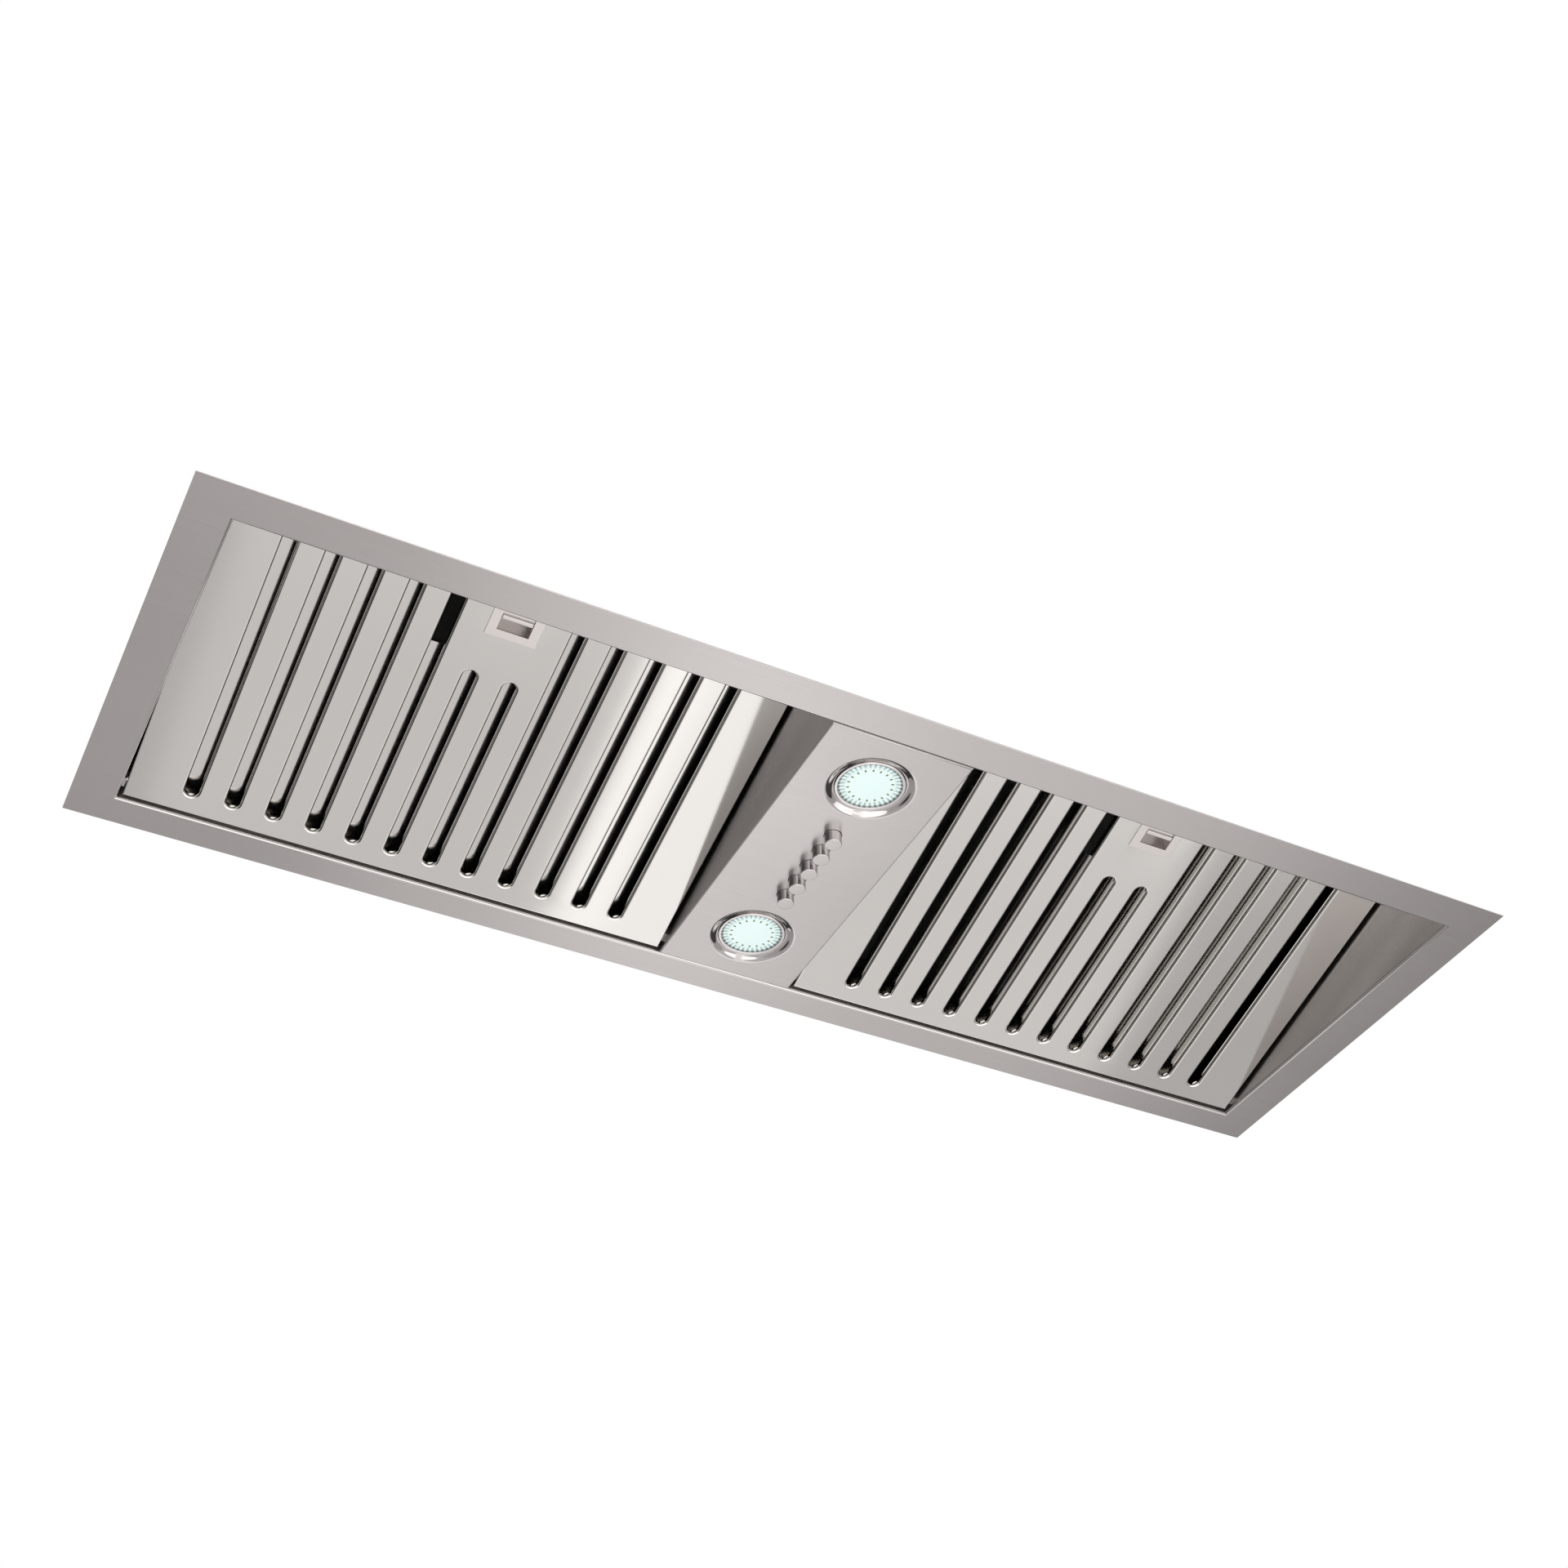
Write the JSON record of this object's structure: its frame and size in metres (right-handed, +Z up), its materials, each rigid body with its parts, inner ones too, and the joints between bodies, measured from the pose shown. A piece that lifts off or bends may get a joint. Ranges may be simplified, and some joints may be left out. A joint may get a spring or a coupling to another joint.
{
  "type": "undermount range hood",
  "caption": "Undermount range hood: flanged steel tray with sloped baffle filters, lit centre panel with push buttons, centrifugal blower and round outlet.",
  "frame": {"origin": "centre of the flange, in the plane of its upper face, which seats against the underside of the cabinet", "axes": "+X to the right as the cook sees it, -Y towards the cook, +Z up through the outlet"},
  "size_m": [0.86, 0.294, 0.3743],
  "materials": {
    "brushed_stainless": "brushed lengthwise",
    "filter_stainless": "fine brushed",
    "galvanised_sheet": "zinc coated",
    "aluminium_sheet": "mill",
    "lamp_aluminium": "die cast",
    "chrome_trim": "polished",
    "latch_zinc": "satin",
    "lamp_glass": "frosted",
    "zinc_screws": "zinc plated",
    "ground_steel": "ground",
    "motor_iron": "laminated",
    "motor_paint": "powder coated",
    "black_nylon": "moulded",
    "black_abs": "moulded",
    "white_plastic": "moulded",
    "cable_pvc": "extruded",
    "rubber": "moulded"
  },
  "bodies": {
    "hood": {"flange_frame": "brushed_stainless", "canopy_shell": "galvanised_sheet", "centre_panel": "brushed_stainless", "centre_cover": "galvanised_sheet", "panel_screws": "zinc_screws", "catch_rails": "brushed_stainless", "filter_hooks": "brushed_stainless", "cabinet_clamps": "galvanised_sheet", "clamp_screws": "zinc_screws", "motor_casing": "galvanised_sheet", "casing_lid": "galvanised_sheet", "casing_screws": "zinc_screws", "outlet_collar": "galvanised_sheet", "collar_screws": "zinc_screws", "damper_rod": "zinc_screws", "scroll_wrapper": "galvanised_sheet", "scroll_side_left": "galvanised_sheet", "scroll_side_right": "galvanised_sheet", "motor_stator": "motor_iron", "motor_shell_left": "motor_paint", "motor_shell_right": "motor_paint", "motor_bearings": "ground_steel", "motor_bracket": "galvanised_sheet", "motor_bushes": "rubber", "bracket_screws": "zinc_screws", "junction_box": "black_abs", "junction_cover": "black_abs", "junction_screws": "zinc_screws", "cable_gland": "black_nylon", "terminal_block": "white_plastic", "run_capacitor": "white_plastic", "capacitor_clip": "galvanised_sheet", "lamp_driver": "white_plastic", "wiring_loom": "cable_pvc", "switch_block": "white_plastic", "switch_bracket": "galvanised_sheet", "lamp_rings": "chrome_trim", "lamp_lenses": "lamp_glass", "lamp_bodies": "lamp_aluminium", "lamp_springs": "ground_steel"},
    "filter_left": {"filter_left_face": "filter_stainless", "filter_left_baffles": "filter_stainless", "latch_housing_left": "latch_zinc", "latch_spring_left": "ground_steel"},
    "filter_right": {"filter_right_face": "filter_stainless", "filter_right_baffles": "filter_stainless", "latch_housing_right": "latch_zinc", "latch_spring_right": "ground_steel"},
    "latch_left": {"latch_slider_left": "latch_zinc"},
    "latch_right": {"latch_slider_right": "latch_zinc"},
    "button_a": {"button_1": "chrome_trim"},
    "button_b": {"button_2": "chrome_trim"},
    "button_c": {"button_3": "chrome_trim"},
    "button_d": {"button_4": "chrome_trim"},
    "button_e": {"button_5": "chrome_trim"},
    "flap_front": {"damper_flap_front": "aluminium_sheet"},
    "flap_back": {"damper_flap_back": "aluminium_sheet"},
    "fan": {"impeller": "black_nylon", "motor_shaft": "ground_steel", "motor_rotor": "motor_iron"}
  },
  "joints": [
    {"name": "filter_left_swing", "type": "hinge", "parent": "hood", "child": "filter_left", "pos_m": [-0.22515, 0.11353, 0.00739], "axis": [1, 0, 0], "range_deg": [0, 75]},
    {"name": "filter_right_swing", "type": "hinge", "parent": "hood", "child": "filter_right", "pos_m": [0.22515, 0.11353, 0.00739], "axis": [1, 0, 0], "range_deg": [0, 75]},
    {"name": "latch_left_pull", "type": "slide", "parent": "filter_left", "child": "latch_left", "axis": [0, 0.9613, -0.2756], "range_m": [0, 0.0055], "stiffness_N_per_m": 400, "springref_m": -0.008, "deforming": ["latch_spring_left"]},
    {"name": "latch_right_pull", "type": "slide", "parent": "filter_right", "child": "latch_right", "axis": [0, 0.9613, -0.2756], "range_m": [0, 0.0055], "stiffness_N_per_m": 400, "springref_m": -0.008, "deforming": ["latch_spring_right"]},
    {"name": "button_1_push", "type": "slide", "parent": "hood", "child": "button_a", "axis": [0, 0, 1], "range_m": [0, 0.003], "stiffness_N_per_m": 300, "springref_m": -0.004},
    {"name": "button_2_push", "type": "slide", "parent": "hood", "child": "button_b", "axis": [0, 0, 1], "range_m": [0, 0.003], "stiffness_N_per_m": 300, "springref_m": -0.004},
    {"name": "button_3_push", "type": "slide", "parent": "hood", "child": "button_c", "axis": [0, 0, 1], "range_m": [0, 0.003], "stiffness_N_per_m": 300, "springref_m": -0.004},
    {"name": "button_4_push", "type": "slide", "parent": "hood", "child": "button_d", "axis": [0, 0, 1], "range_m": [0, 0.003], "stiffness_N_per_m": 300, "springref_m": -0.004},
    {"name": "button_5_push", "type": "slide", "parent": "hood", "child": "button_e", "axis": [0, 0, 1], "range_m": [0, 0.003], "stiffness_N_per_m": 300, "springref_m": -0.004},
    {"name": "flap_front_lift", "type": "hinge", "parent": "hood", "child": "flap_front", "pos_m": [0, 0.0081, 0.33467], "axis": [-1, 0, 0], "range_deg": [0, 80]},
    {"name": "flap_back_lift", "type": "hinge", "parent": "hood", "child": "flap_back", "pos_m": [0, 0.0081, 0.33467], "axis": [1, 0, 0], "range_deg": [0, 80]},
    {"name": "fan_spin", "type": "hinge", "parent": "hood", "child": "fan", "pos_m": [0, -0.03265, 0.23887], "axis": [1, 0, 0], "continuous": true}
  ]
}
